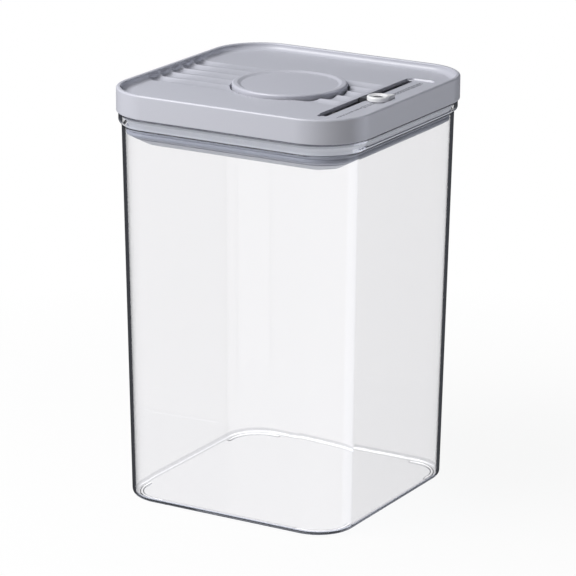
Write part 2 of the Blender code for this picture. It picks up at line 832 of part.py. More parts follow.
# A white pointer: a dished round head with a hole and a low tail towards the scale.
def make_slider_knob(material, parent):
    dish_middle = (knob_dish_radius + knob_hole_radius) / 2
    outline = [(knob_hole_radius, knob_bottom), (knob_radius, knob_bottom)]
    outline += arc(knob_radius - knob_edge_round, knob_top - knob_edge_round, knob_edge_round, 0, 90)
    outline += [(knob_dish_radius, knob_top - knob_dish_depth / 4),
                (dish_middle, knob_top - knob_dish_depth * 3 / 4),
                (knob_hole_radius, knob_top - knob_dish_depth)]
    head = turned(outline, small_segments, (knob_x, knob_y))
    knob = make_object("date_slider_knob", head, material, parent)

    reach = math.hypot(knob_tip_x, knob_tip_y)
    along = (knob_tip_x / reach, knob_tip_y / reach)
    across = (-along[1], along[0])
    touch = knob_radius * knob_radius / reach
    side = math.sqrt(knob_radius * knob_radius - touch * touch) - knob_edge_round / 2
    start = knob_hole_radius + knob_edge_round
    spots = [(start, -side), (touch, -side), (reach - knob_edge_round, -knob_edge_round / 2),
             (reach, 0.0), (reach - knob_edge_round, knob_edge_round / 2), (touch, side), (start, side)]
    low = []
    high = []
    root_height = knob_height - knob_dish_depth
    for forward, sideways in spots:
        x = knob_x + along[0] * forward + across[0] * sideways
        y = knob_y + along[1] * forward + across[1] * sideways
        share = max(0.0, (forward - touch) / (reach - touch))
        low.append((x, y, knob_bottom))
        high.append((x, y, knob_bottom + root_height + (knob_tip_height - root_height) * share))
    boolean(knob, "knob_tail", loft([low, high]), "UNION")
    half = clip_length / 2 + fit_gap
    recess = box_outline(knob_x - knob_radius - overrun, clip_arm_end + fit_gap, knob_y - half, knob_y + half)
    recess_top = knob_bottom + clip_arm + fit_gap
    boolean(knob, "knob_recess", prism(recess, knob_bottom - overrun, recess_top), "DIFFERENCE")
    return knob


# The hook that holds the knob: over the scale's edge, down the slot and under the plate.
def make_slider_clip(material, parent):
    left = slot_left + fit_gap
    right = slot_right - fit_gap
    arm_top = knob_bottom + clip_arm
    profile = [(left - clip_left_lap, clip_foot_low), (right + clip_lap, clip_foot_low),
               (right + clip_lap, clip_foot_top), (right, clip_foot_top), (right, knob_bottom),
               (clip_arm_end, knob_bottom), (clip_arm_end, arm_top), (left, arm_top),
               (left, clip_foot_top), (left - clip_left_lap, clip_foot_top)]
    front = knob_y - clip_length / 2
    rings = [[(x, y, level) for x, level in profile] for y in (front, front + clip_length)]
    return make_object("date_slider_clip", loft(rings), material, parent)


def build():
    clear_scene()
    clear_plastic = make_material("clear_plastic", clear, 0.03, transmission=1.0)
    lid_plastic = make_material("lid_plastic", grey, 0.45)
    button_plastic = make_material("button_plastic", pale_grey, 0.45)
    inner_plastic = make_material("inner_plastic", pale_grey, 0.5)
    dark_plastic = make_material("dark_plastic", dark_grey, 0.5)
    white_plastic = make_material("white_plastic", white, 0.35)
    seal_rubber = make_material("seal_rubber", seal_grey, 0.6)
    bright_steel = make_material("bright_steel", steel, 0.3, metallic=1.0)

    make_container(clear_plastic)

    lid_frame = make_empty("lid_frame", (0.0, 0.0, lid_bottom))
    make_lid_cover(lid_plastic, lid_frame)
    make_housing(inner_plastic, lid_frame)
    make_seal(seal_rubber, lid_frame)
    make_bottom_cover(inner_plastic, lid_frame)
    make_cover_screws(bright_steel, lid_frame)
    make_latch_sleeve(white_plastic, lid_frame)

    button_axis = make_empty("button_axis", (0.0, 0.0, tray_floor), lid_frame)
    make_button_cap(button_plastic, button_axis)
    make_button_stem(white_plastic, button_axis)
    make_cam_ring(white_plastic, button_axis)
    make_rotor_washer(bright_steel, button_axis)
    make_rotor_screw(bright_steel, button_axis)
    make_return_spring(bright_steel, button_axis)
    rotor_axis = make_empty("rotor_axis", (0.0, 0.0, rotor_low), button_axis)
    make_latch_rotor(dark_plastic, rotor_axis)

    for quarter, side in enumerate(("right", "back", "left", "front")):
        place = turn_quarter((slide_bar_outer, 0.0), quarter)
        slide_axis = make_empty("slide_axis_" + side, (*place, seal_bottom), lid_frame)
        make_seal_slide("seal_slide_" + side, quarter, white_plastic, slide_axis)

    slider_axis = make_empty("slider_axis", (knob_x, knob_y, knob_bottom), lid_frame)
    make_slider_knob(white_plastic, slider_axis)
    make_slider_clip(dark_plastic, slider_axis)


build()
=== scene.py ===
import math

import bmesh
import bpy
from mathutils import Matrix, Vector


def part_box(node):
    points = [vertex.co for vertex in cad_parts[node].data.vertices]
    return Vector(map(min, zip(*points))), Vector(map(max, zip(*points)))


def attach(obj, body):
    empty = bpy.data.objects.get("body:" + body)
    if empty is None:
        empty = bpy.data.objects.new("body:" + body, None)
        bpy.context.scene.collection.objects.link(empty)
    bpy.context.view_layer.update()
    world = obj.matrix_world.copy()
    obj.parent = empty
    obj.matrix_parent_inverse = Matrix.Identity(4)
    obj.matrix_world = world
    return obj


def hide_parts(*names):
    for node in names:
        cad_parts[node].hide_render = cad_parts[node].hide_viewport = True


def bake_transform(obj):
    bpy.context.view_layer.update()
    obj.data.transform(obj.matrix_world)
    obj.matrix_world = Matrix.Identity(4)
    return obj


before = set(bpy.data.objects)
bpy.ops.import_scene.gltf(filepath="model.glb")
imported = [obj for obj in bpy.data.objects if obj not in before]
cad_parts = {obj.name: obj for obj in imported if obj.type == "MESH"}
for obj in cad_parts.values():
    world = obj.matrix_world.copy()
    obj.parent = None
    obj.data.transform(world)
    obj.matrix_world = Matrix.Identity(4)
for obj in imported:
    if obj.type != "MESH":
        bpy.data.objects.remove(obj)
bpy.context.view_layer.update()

# Looks of the push-button canister. Shapes are drawn in millimetres, in the CAD frame.
mm = 0.001
white = (1.0, 1.0, 1.0)
flatten = (1.0, 1.0, 0.0)  # times this, a direction or place loses its height
stage = bpy.context.scene


class Signal:  # one socket, so that shader maths reads as plain expressions
    def __init__(self, graph, socket):
        self.graph = graph
        self.socket = socket

    def maths(self, operation, first, second):
        node = self.graph.add("ShaderNodeMath", {"operation": operation}, {0: first, 1: second})
        return self.graph.out(node)

    def __add__(self, other):
        return self.maths("ADD", self, other)

    def __radd__(self, other):
        return self.maths("ADD", other, self)

    def __sub__(self, other):
        return self.maths("SUBTRACT", self, other)

    def __rsub__(self, other):
        return self.maths("SUBTRACT", other, self)

    def __mul__(self, other):
        return self.maths("MULTIPLY", self, other)

    def atLeast(self, other):
        return self.maths("MAXIMUM", self, other)

    def above(self, other):
        return self.maths("GREATER_THAN", self, other)


class Graph:  # the nodes of one material, or of the world
    def __init__(self, tree):
        self.tree = tree
        tree.nodes.clear()

    def add(self, kind, settings=None, sockets=None):
        node = self.tree.nodes.new(kind)
        for name, value in (settings or {}).items():
            setattr(node, name, value)
        for name, value in (sockets or {}).items():
            if isinstance(value, Signal):
                self.tree.links.new(value.socket, node.inputs[name])
            else:
                node.inputs[name].default_value = value
        return node

    def out(self, node, name=0):
        return Signal(self, node.outputs[name])

    def vectorMaths(self, operation, *values):
        node = self.add("ShaderNodeVectorMath", {"operation": operation}, dict(enumerate(values)))
        return self.out(node, "Value" if operation in ("LENGTH", "DOT_PRODUCT") else "Vector")

    def heightOf(self, vector):
        return self.out(self.add("ShaderNodeSeparateXYZ", None, {0: vector}), "Z")

    def objectPlace(self, stretch=(1.0, 1.0, 1.0)):
        where = self.out(self.add("ShaderNodeTexCoord"), "Object")
        return self.vectorMaths("MULTIPLY", where, stretch)

    def noise(self, size, detail=2.0, stretch=(1.0, 1.0, 1.0)):  # size is the grain's, in millimetres
        sockets = {"Vector": self.objectPlace(stretch), "Scale": 1 / (size * mm), "Detail": detail}
        return self.out(self.add("ShaderNodeTexNoise", None, sockets), "Fac")

    def blend(self, share, first, second):
        settings = {"data_type": "RGBA", "clamp_factor": True}
        node = self.add("ShaderNodeMix", settings, {0: share, 6: rgba(first), 7: rgba(second)})
        return self.out(node, 2)

    def ramp(self, value, low, high):  # 0 at low, 1 at high, level beyond them
        sockets = {"Value": value, "From Min": low, "From Max": high}
        return self.out(self.add("ShaderNodeMapRange", {"clamp": True}, sockets))

    def bump(self, height, depth):  # depth in millimetres
        sockets = {"Strength": 1.0, "Distance": depth * mm, "Height": height}
        return self.out(self.add("ShaderNodeBump", None, sockets), "Normal")


def rgba(colour):
    if isinstance(colour, Signal):
        return colour
    return (*colour, 1.0)


def shade(colour, factor):
    return tuple(channel * factor for channel in colour)


def swing(noise, reach):  # a noise from 0 to 1 as a swing round zero
    return (noise - 0.5) * reach


def newMaterial(name):
    material = bpy.data.materials.new(name)
    material.use_nodes = True
    return material, Graph(material.node_tree)


def closeMaterial(graph, shader):
    graph.add("ShaderNodeOutputMaterial", None, {"Surface": graph.out(shader)})


# Moulded plastic with a fine spark-eroded grain and a slow drift of tone.
def satinPlastic(name, look):
    material, graph = newMaterial(name)
    grain = graph.noise(look["grain"], detail=3.0)
    drift = graph.noise(look["drift"], detail=1.0)
    darker, lighter = (shade(look["colour"], 1 + side * look["spread"]) for side in (-1, 1))
    shader = graph.add("ShaderNodeBsdfPrincipled", None, {
        "Base Color": graph.blend(drift, darker, lighter),
        "Roughness": look["rough"] + swing(grain, look["roughSpread"]),
        "IOR": look["ior"],
        "Specular IOR Level": look["gloss"],
        "Normal": graph.bump(grain, look["depth"]),
    })
    closeMaterial(graph, shader)
    return material


# Painted shade: a grey tint on the clear plastic where the wall turns into the floor, for the dark line that
# the thick turn shows.
def footEdge(graph, look):
    where = graph.objectPlace()
    middle = look["footMiddle"] * mm
    beyond = graph.vectorMaths("SUBTRACT", graph.vectorMaths("ABSOLUTE", where), (middle, middle, 0.0))
    beyond = graph.vectorMaths("MULTIPLY", beyond, flatten)
    reach = graph.vectorMaths("LENGTH", graph.vectorMaths("MAXIMUM", beyond, (0.0, 0.0, 0.0)))
    near = graph.ramp(reach, *(place * mm for place in look["footReach"]))
    return near * (1 - graph.ramp(graph.heightOf(where), *(rise * mm for rise in look["footRise"])))


# Painted shade: a dark tint on the clear plastic just under the rim's top, for the shadow gap under the
# lid's skirt.
def rimEdge(graph, look):
    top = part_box("container")[1].z
    rise = graph.heightOf(graph.objectPlace())
    return graph.ramp(rise, *(top - depth * mm for depth in look["rimDepth"]))


# Clear wall: light from lamps and from matt surfaces passes straight through it.
def clearPlastic(name, look):
    material, graph = newMaterial(name)
    haze = graph.noise(look["haze"])
    # Painted shade: grey at the turn of the base.
    tone = graph.blend(footEdge(graph, look), look["colour"], look["paintedFootShade"])
    # Painted shade: dark just under the rim.
    tone = graph.blend(rimEdge(graph, look), tone, look["paintedRimShade"])
    glass = graph.add("ShaderNodeBsdfPrincipled", None, {
        "Base Color": tone,
        "Roughness": look["rough"] + haze * look["roughSpread"],
        "IOR": look["ior"],
        "Transmission Weight": 1.0,
    })
    through = graph.add("ShaderNodeBsdfTransparent", None, {"Color": rgba(look["through"])})
    path = graph.add("ShaderNodeLightPath")
    passing = graph.out(path, "Is Shadow Ray").atLeast(graph.out(path, "Is Diffuse Ray"))
    mixed = graph.add("ShaderNodeMixShader", None, {0: passing, 1: graph.out(glass), 2: graph.out(through)})
    closeMaterial(graph, mixed)
    return material


# Soft silicone: matt, with a faint bloom.
def siliconeRubber(name, look):
    material, graph = newMaterial(name)
    bloom = graph.noise(look["bloom"], detail=4.0)
    shader = graph.add("ShaderNodeBsdfPrincipled", None, {
        "Base Color": graph.blend(bloom, look["colour"], shade(look["colour"], 1 + look["spread"])),
        "Roughness": look["rough"] + swing(bloom, look["roughSpread"]),
        "Specular IOR Level": look["gloss"],
        "Normal": graph.bump(bloom, look["depth"]),
    })
    closeMaterial(graph, shader)
    return material


# Bright steel with fine turning marks round its own axis.
def turnedSteel(name, look):
    material, graph = newMaterial(name)
    marks = graph.noise(look["marks"], detail=3.0, stretch=look["stretch"])
    shader = graph.add("ShaderNodeBsdfPrincipled", None, {
        "Base Color": graph.blend(marks, look["colour"], shade(look["colour"], 1 - look["spread"])),
        "Metallic": 1.0,
        "Roughness": look["rough"] + swing(marks, look["roughSpread"]),
        "Normal": graph.bump(marks, look["depth"]),
    })
    closeMaterial(graph, shader)
    return material


# Grain, drift, bloom, marks, haze, depths and the foot's and the rim's places are in millimetres.
finishes = {
    "lid": satinPlastic("lidPlastic", {
        "colour": (0.465, 0.470, 0.520), "spread": 0.012, "rough": 0.38, "roughSpread": 0.10,
        "ior": 1.49, "gloss": 0.50, "grain": 0.16, "drift": 30.0, "depth": 0.008}),
    "button": satinPlastic("buttonPlastic", {
        "colour": (0.465, 0.468, 0.520), "spread": 0.012, "rough": 0.38, "roughSpread": 0.10,
        "ior": 1.49, "gloss": 0.50, "grain": 0.16, "drift": 24.0, "depth": 0.006}),
    "inner": satinPlastic("innerPlastic", {
        "colour": (0.860, 0.870, 0.930), "spread": 0.015, "rough": 0.35, "roughSpread": 0.12,
        "ior": 1.49, "gloss": 0.50, "grain": 0.30, "drift": 20.0, "depth": 0.006}),
    "cover": satinPlastic("coverPlastic", {
        "colour": (0.440, 0.450, 0.505), "spread": 0.015, "rough": 0.38, "roughSpread": 0.12,
        "ior": 1.49, "gloss": 0.50, "grain": 0.30, "drift": 20.0, "depth": 0.006}),
    "dark": satinPlastic("darkPlastic", {
        "colour": (0.035, 0.036, 0.040), "spread": 0.05, "rough": 0.45, "roughSpread": 0.12,
        "ior": 1.49, "gloss": 0.45, "grain": 0.25, "drift": 12.0, "depth": 0.006}),
    "white": satinPlastic("whitePlastic", {
        "colour": (0.75, 0.75, 0.755), "spread": 0.01, "rough": 0.32, "roughSpread": 0.06,
        "ior": 1.49, "gloss": 0.50, "grain": 0.22, "drift": 9.0, "depth": 0.003}),
    "marks": satinPlastic("scaleMarks", {
        "colour": (0.200, 0.203, 0.230), "spread": 0.02, "rough": 0.50, "roughSpread": 0.08,
        "ior": 1.49, "gloss": 0.45, "grain": 0.20, "drift": 6.0, "depth": 0.002}),
    "seal": siliconeRubber("sealSilicone", {
        "colour": (0.380, 0.390, 0.455), "spread": 0.06, "rough": 0.50, "roughSpread": 0.16,
        "gloss": 0.45, "bloom": 1.4, "depth": 0.010}),
    "steel": turnedSteel("brightSteel", {
        "colour": (0.62, 0.62, 0.63), "spread": 0.12, "rough": 0.26, "roughSpread": 0.14,
        "marks": 0.35, "stretch": (1.0, 1.0, 4.0), "depth": 0.002}),
    "clear": clearPlastic("clearPlastic", {
        "colour": (0.985, 0.983, 0.991), "rough": 0.0, "roughSpread": 0.012, "ior": 1.50,
        "haze": 40.0, "through": (0.93, 0.94, 0.95),
        # The foot colour is painted shade, a grey for the dark line at the turn of the base.
        "paintedFootShade": (0.78, 0.78, 0.80), "footMiddle": 33.8, "footReach": (12.4, 13.4),
        # The rim colour is painted shade, for the shadow gap under the lid's skirt.
        "footRise": (3.0, 3.6), "paintedRimShade": (0.11, 0.11, 0.13), "rimDepth": (0.75, 0.40)}),
}
print("finishes ready:", len(finishes))

quadrants = ((1, 1), (-1, 1), (-1, -1), (1, -1))
ringSteps = 24  # steps round each corner of a rounded square


def smooth(share):  # an S from 0 to 1
    return share * share * (3 - 2 * share)


# Points of an arc from start to end, in degrees.
def arc(centreX, centreY, radius, start, end, steps=8):
    points = []
    for step in range(steps + 1):
        angle = math.radians(start + (end - start) * step / steps)
        points.append((centreX + radius * math.cos(angle), centreY + radius * math.sin(angle)))
    return points


# A rounded rectangle between two corners at one level, anticlockwise from above.
def boxRing(left, right, front, back, radius, level, steps=8):
    points = []
    for quarter, (signX, signY) in enumerate(quadrants):
        centreX = (right if signX > 0 else left) - signX * radius
        centreY = (back if signY > 0 else front) - signY * radius
        points += arc(centreX, centreY, radius, 90 * quarter, 90 * quarter + 90, steps)
    return [(x, y, level) for x, y in points]


def squareRing(half, radius, level, steps=ringSteps):
    return boxRing(-half, half, -half, half, radius, level, steps)


# Rounded squares up a profile of (half width, level) points, all with the same corner centres.
def profileRings(profile, half, corner):
    return [squareRing(reach, corner - half + reach, level) for reach, level in profile]


def loft(rings, looped=False):
    mesh = bmesh.new()
    loops = [[mesh.verts.new(point) for point in ring] for ring in rings]
    pairs = list(zip(loops, loops[1:]))
    if looped:
        pairs.append((loops[-1], loops[0]))
    for lower, upper in pairs:
        for index in range(len(lower)):
            after = (index + 1) % len(lower)
            mesh.faces.new((lower[index], lower[after], upper[after], upper[index]))
    if not looped:
        mesh.faces.new(reversed(loops[0]))
        mesh.faces.new(loops[-1])
    return mesh


def boxCutter(left, right, front, back, radius, low, high, steps=8):
    return loft([boxRing(left, right, front, back, radius, level, steps) for level in (low, high)])


# Turns a closed outline of (radius, level) points round a vertical line.
def turned(outline, segments=96, centre=(0.0, 0.0), mesh=None):
    mesh = mesh or bmesh.new()
    rings = []
    for radius, level in outline:
        count = segments if radius > 0 else 1
        angles = [math.tau * index / segments for index in range(count)]
        rings.append([mesh.verts.new((centre[0] + radius * math.cos(angle),
                                      centre[1] + radius * math.sin(angle), level)) for angle in angles])
    for lower, upper in zip(rings, rings[1:] + rings[:1]):
        if len(lower) == len(upper) == 1:
            continue
        for index in range(segments):
            after = (index + 1) % segments
            corners = [lower[index % len(lower)], lower[after % len(lower)],
                       upper[after % len(upper)], upper[index % len(upper)]]
            mesh.faces.new(list(dict.fromkeys(corners)))
    return mesh


def newObject(name, mesh):
    bmesh.ops.recalc_face_normals(mesh, faces=mesh.faces)
    data = bpy.data.meshes.new(name)
    mesh.to_mesh(data)
    mesh.free()
    item = bpy.data.objects.new(name, data)
    stage.collection.objects.link(item)
    return item


def carve(target, mesh, operation="DIFFERENCE"):
    tool = newObject("carver", mesh)
    cut = target.modifiers.new("cut", "BOOLEAN")
    cut.operation = operation
    cut.solver = "EXACT"
    cut.object = tool
    graph = bpy.context.evaluated_depsgraph_get()
    result = bpy.data.meshes.new_from_object(target.evaluated_get(graph))
    target.modifiers.clear()
    target.data = result
    bpy.data.objects.remove(tool)


# Scales a piece to metres, shades it and hands it to its body; edges over sharp degrees stay crisp.
def settle(item, finish, body, nodes=(), sharp=32):
    item.data.transform(Matrix.Scale(mm, 4))
    item.data.shade_smooth()
    item.data.set_sharp_from_angle(angle=math.radians(sharp))
    even = item.modifiers.new("evenShading", "WEIGHTED_NORMAL")
    even.keep_sharp = True
    even.weight = 100
    item.data.materials.clear()
    item.data.materials.append(finishes[finish])
    if body:
        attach(item, body)
    if nodes:
        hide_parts(*nodes)


skirtGap = 0.3  # from the container's rim up to the lid's skirt
trayDepth = 2.85
overrun = 1.0  # how far a cutter runs past what it cuts
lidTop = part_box("lid_cover")[1].z / mm
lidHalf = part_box("lid_cover")[1].x / mm
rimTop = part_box("container")[1].z / mm
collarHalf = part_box("container")[1].x / mm
lidBottom = rimTop + skirtGap
trayFloor = lidTop - trayDepth

container = {
    "baseHalf": 49.7, "shoulderHalf": 52.0, "corner": 15.9, "collarCorner": 20.5, "wall": 1.4, "draft": 0.05,
    "bottom": 0.6, "floor": 2.1, "baseRound": 2.4, "floorRound": 0.8, "rimRound": 0.5,
    "shoulder": 152.9, "collar": 155.1, "shoulderDrop": 0.3, "swellShares": (0.0, 0.25, 0.5, 0.75, 1.0),
    "footInset": 3.0, "footWidth": 1.6, "footRun": 3.4, "footEdge": 0.55, "footSink": 0.5,
}


# One ring of the shoulder, which swells out to the collar in an S.
def shoulderRing(share, inset=0.0, drop=0.0):
    c = container
    reach = smooth(share)
    half = c["shoulderHalf"] - inset + (collarHalf - c["shoulderHalf"]) * reach
    radius = c["corner"] - inset + (c["collarCorner"] - c["corner"]) * reach
    return squareRing(half, radius, c["shoulder"] - drop + (c["collar"] - c["shoulder"]) * share)


# One corner foot seen from above, drawn in by an inset.
def footOutline(inset):
    c = container
    outer = c["baseHalf"] - c["footInset"]
    radius = c["corner"] - c["footInset"]
    centre = outer - radius
    width = c["footWidth"] - 2 * inset
    start = centre - c["footRun"] + inset
    edge = outer - inset
    outline = [(edge, start)]
    outline += arc(centre, centre, radius - inset, 0, 90, steps=16)
    outline += [(start, edge), (start, edge - width)]
    outline += arc(centre, centre, radius - inset - width, 90, 0, steps=16)
    outline.append((edge - width, start))
    return outline


def buildContainer():
    c = container
    base = c["baseHalf"]
    neck = collarHalf - c["wall"]
    inner = base + c["draft"] - c["wall"]
    baseArc = arc(base - c["baseRound"], c["bottom"] + c["baseRound"], c["baseRound"], -90, 0, steps=10)
    outerRim = arc(collarHalf - c["rimRound"], rimTop - c["rimRound"], c["rimRound"], 0, 90, steps=5)
    innerRim = arc(neck + c["rimRound"], rimTop - c["rimRound"], c["rimRound"], 90, 180, steps=5)
    floorArc = arc(inner - c["floorRound"], c["floor"] + c["floorRound"], c["floorRound"], 0, -90, steps=8)
    rings = profileRings(baseArc, base, c["corner"])
    rings += [shoulderRing(share) for share in c["swellShares"]]
    rings += profileRings(outerRim, collarHalf, c["collarCorner"])
    rings += profileRings(innerRim, neck, c["collarCorner"] - c["wall"])
    rings += [shoulderRing(share, c["wall"], c["shoulderDrop"]) for share in reversed(c["swellShares"])]
    rings += profileRings(floorArc, inner, c["corner"] - c["wall"])
    item = newObject("container_body", loft(rings))

    edge = c["footEdge"]
    profile = [(edge - reach, level) for reach, level in arc(0.0, edge, edge, -90, 0, steps=4)]
    profile.append((0.0, c["bottom"] + c["footSink"]))
    for signX, signY in quadrants:
        rings = []
        for inset, level in profile:
            rings.append([(signX * x, signY * y, level) for x, y in footOutline(inset)])
        carve(item, loft(rings), "UNION")
    settle(item, "clear", "container", ("container",), sharp=40)


buildContainer()
print("container built")

lidCover = {
    "corner": 21.3, "wall": 1.8, "plate": 2.6, "topRound": 0.8, "skirtRound": 0.35,
    "rim": 1.8, "innerRound": 0.5, "fillet": 2.25,
    "bossPlace": 38.6, "bossRadius": 3.0, "bossBottom": 151.6, "bossBore": 1.5, "bossDepth": 9.1,
    "bossRoot": 0.5,
}
flutes = {
    "count": 5, "pitch": 8.3, "offset": 1.0, "depth": 1.05, "calmDepth": 0.25, "steps": 20, "skin": 0.03,
    "fadeStart": 27.0, "end": 31.7, "fadeSteps": 6, "climb": 12, "climbEnd": 84.0, "air": 1.0,
    "calmRight": (22.0, 12.0), "calmLeft": (-38.0, -50.0), "calmSteps": 5,
}
buttonHole = {"radius": 23.5, "edge": 0.22, "lift": 0.002}
pocket = {
    "left": 33.2, "right": 44.9, "half": 37.5, "corner": 2.3, "depth": 0.65, "slope": 0.35, "flare": 0.6,
}
slot = {
    "left": 32.7, "width": 3.0, "front": -33.7, "back": 36.3, "round": 0.8, "edge": 0.12, "lift": 0.01,
    "leftShare": 0.5, "lip": 1.35, "undercut": 2.2, "sideRoom": 0.4,
    "endLip": 0.35, "endRoom": 0.6, "endSide": 0.3, "endReach": 0.1, "endRound": 0.5,
}
plateBottom = trayFloor - lidCover["plate"]
bossSpots = [(signX * lidCover["bossPlace"], signY * lidCover["bossPlace"]) for signX, signY in quadrants]


# The tray's wall from the rim down to the floor, as (half width, level) points.
def trayProfile():
    c = lidCover
    half = lidHalf - c["rim"]
    top = arc(half + c["innerRound"], lidTop - c["innerRound"], c["innerRound"], 90, 180, steps=6)
    foot = arc(half - c["fillet"], trayFloor + c["fillet"], c["fillet"], 0, -90, steps=14)
    return top + foot


# Where the flutes lie shallow: their depth along X as (x, share of the calm depth) points.
def calmStretch():
    f = flutes
    points = []
    for (start, end), rising in ((f["calmRight"], True), (f["calmLeft"], False)):
        for step in range(f["calmSteps"] + 1):
            share = step / f["calmSteps"]
            points.append((start + (end - start) * share, smooth(share if rising else 1 - share)))
    return points


# Cross-sections of the cutter for the flutes, from front to back.
def fluteRings():
    f = flutes
    fillet = lidCover["fillet"]
    foot = lidHalf - lidCover["rim"] - fillet
    rings = []
    for index in range(f["count"] * f["steps"] + 1):
        across = index / f["steps"]
        place = 2 * (across - math.floor(across)) - 1
        hollow = 1 - place * place
        depth = f["depth"] * hollow - f["skin"]
        y = f["pitch"] * (across - f["count"] / 2) + f["offset"]
        path = []
        for step in range(f["fadeSteps"] + 1):  # the flute rises to the floor in an S before the slot
            share = step / f["fadeSteps"]
            fade = smooth(share)
            path.append((f["end"] + (f["fadeStart"] - f["end"]) * share,
                         trayFloor + f["skin"] * (1 - fade) - depth * fade))
        for x, calm in calmStretch():
            path.append((x, trayFloor - depth + (f["depth"] - f["calmDepth"]) * hollow * calm))
        for step in range(f["climb"] + 1):  # and climbs the fillet on the left, half a step off its facets
            share = step / f["climb"]
            angle = math.radians(-90 + f["climbEnd"] * (step + 0.5) / (f["climb"] + 0.5))
            reach = fillet + depth * (1 - share ** 3) - f["skin"] * share ** 3
            path.append((-foot - reach * math.cos(angle), trayFloor + fillet + reach * math.sin(angle)))
        path.append((-foot, path[-1][1]))
        path.append((-foot + fillet, trayFloor + f["air"]))
        path.append((f["end"], trayFloor + f["air"]))
        rings.append([(x, y, level) for x, level in path])
    return rings


def cutButtonHole(item):
    h = buttonHole
    wide = h["radius"] + h["edge"]
    start = plateBottom - overrun
    outline = [(0.0, start), (h["radius"], start), (h["radius"], trayFloor - h["edge"]),
               (wide, trayFloor + h["lift"]), (wide, lidTop), (0.0, lidTop)]
    carve(item, turned(outline, segments=128))


def cutPocket(item):
    p = pocket
    rings = []
    for grow, level in ((0.0, trayFloor - p["depth"]), (p["slope"], trayFloor),
                        (p["slope"] + p["flare"], trayFloor + overrun)):
        rings.append(boxRing(p["left"], p["right"] + grow, -p["half"] - grow, p["half"] + grow,
                             p["corner"] + grow, level))
    carve(item, loft(rings))


def cutSlot(item):
    s = slot
    low = trayFloor - pocket["depth"]
    right = s["left"] + s["width"]
    rings = []
    for grow, level in ((0.0, plateBottom - overrun), (0.0, low - s["edge"]),
                        (s["edge"], low + s["lift"]), (s["edge"], lidTop)):
        rings.append(boxRing(s["left"] - grow * s["leftShare"], right + grow,
                             s["front"] - grow, s["back"] + grow, s["round"] + grow, level))
    carve(item, loft(rings))
    # The plate thins out round the slot, so that only a low lip shows and the rest is dark.
    wide = s["undercut"]
    end = s["back"] + s["endRoom"]
    carve(item, boxCutter(s["left"] - wide, right + s["sideRoom"], s["front"] - wide, end,
                          wide, plateBottom - overrun, trayFloor - s["lip"]))
    carve(item, boxCutter(s["left"], right + s["endSide"], s["back"] - wide, end + s["endReach"],
                          s["endRound"], plateBottom - overrun - s["endReach"], low - s["endLip"]))


def buildLidCover():
    c = lidCover
    inner = lidHalf - c["wall"]
    profile = [(inner, plateBottom), (inner, lidBottom)]
    profile += arc(lidHalf - c["skirtRound"], lidBottom + c["skirtRound"], c["skirtRound"], -90, 0, steps=4)
    profile += arc(lidHalf - c["topRound"], lidTop - c["topRound"], c["topRound"], 0, 90, steps=8)
    profile += trayProfile()
    item = newObject("lid_cover_shell", loft(profileRings(profile, lidHalf, c["corner"])))

    root = plateBottom + c["bossRoot"]
    blind = c["bossBottom"] + c["bossDepth"]
    outline = [(c["bossBore"], c["bossBottom"]), (c["bossRadius"], c["bossBottom"]),
               (c["bossRadius"], root), (0.0, root), (0.0, blind), (c["bossBore"], blind)]
    bosses = bmesh.new()
    for spot in bossSpots:
        turned(outline, segments=32, centre=spot, mesh=bosses)
    carve(item, bosses, "UNION")
    carve(item, loft(fluteRings()))
    cutButtonHole(item)
    cutPocket(item)
    cutSlot(item)
    settle(item, "lid", "lid", ("lid_cover",), sharp=30)


buildLidCover()
print("lid cover built")

scale = {"days": 31, "span": 66.0, "x": 40.4, "size": 2.35, "raise": 0.06, "bead": 0.02, "bold": 0.01}


# Plain day numbers along the pointer's way.
def buildScaleMarks():
    s = scale
    floor = trayFloor - pocket["depth"]
    marks = bmesh.new()
    for day in range(1, s["days"] + 1):
        text = bpy.data.curves.new("digits", "FONT")
        text.body = str(day)
        text.size = s["size"]
        text.extrude = s["raise"]
        text.bevel_depth = s["bead"]
        text.offset = s["bold"]
        text.align_x = "CENTER"
        text.align_y = "CENTER"
        item = bpy.data.objects.new("digits", text)
        stage.collection.objects.link(item)
        graph = bpy.context.evaluated_depsgraph_get()
        data = bpy.data.meshes.new_from_object(item.evaluated_get(graph))
        y = s["span"] * ((day - 1) / (s["days"] - 1) - 0.5)
        data.transform(Matrix.Translation((s["x"], y, floor)))
        marks.from_mesh(data)
        bpy.data.objects.remove(item)
    settle(newObject("date_scale_marks", marks), "marks", "lid")


buildScaleMarks()
print("scale marks built")

button = {
    "radius": 22.7, "top": 167.0, "lip": 2.7, "outerRound": 0.9, "wall": 1.6, "crown": 1.6, "skirt": 155.3,
    "dish": 0.7, "dishFoot": 1.1, "dishRun": 1.9, "dishSteps": 8,
}


def buildButton():
    b = button
    dishEdge = b["radius"] - b["lip"]
    inner = b["radius"] - b["wall"]
    floor = b["top"] - b["dish"]
    outline = [(0.0, floor)]
    for step in range(b["dishSteps"] + 1):  # from the flat dish up to the lip
        share = step / b["dishSteps"]
        outline.append((dishEdge - b["dishFoot"] + b["dishRun"] * share, floor + b["dish"] * smooth(share)))
    outline += arc(b["radius"] - b["outerRound"], b["top"] - b["outerRound"], b["outerRound"], 90, 0)
    outline += [(b["radius"], b["skirt"]), (inner, b["skirt"]), (inner, floor - b["crown"]),
                (0.0, floor - b["crown"])]
    item = newObject("button_shell", turned(outline, segments=128))
    settle(item, "button", "button", ("button_cap",))


buildButton()
print("button built")

seal = {
    "half": 50.25, "corner": 14.2, "bottom": 149.5, "top": 153.3, "inner": 47.5, "foot": 48.9, "lift": 0.6,
    "lips": 2, "lipSteps": 12, "lipDepth": 0.35, "lipPower": 0.6,
}


# The seal, the housing's ring and the cover's edge share their corner centres.
def plugRing(half, level):
    return squareRing(half, seal["corner"] - seal["half"] + half, level)


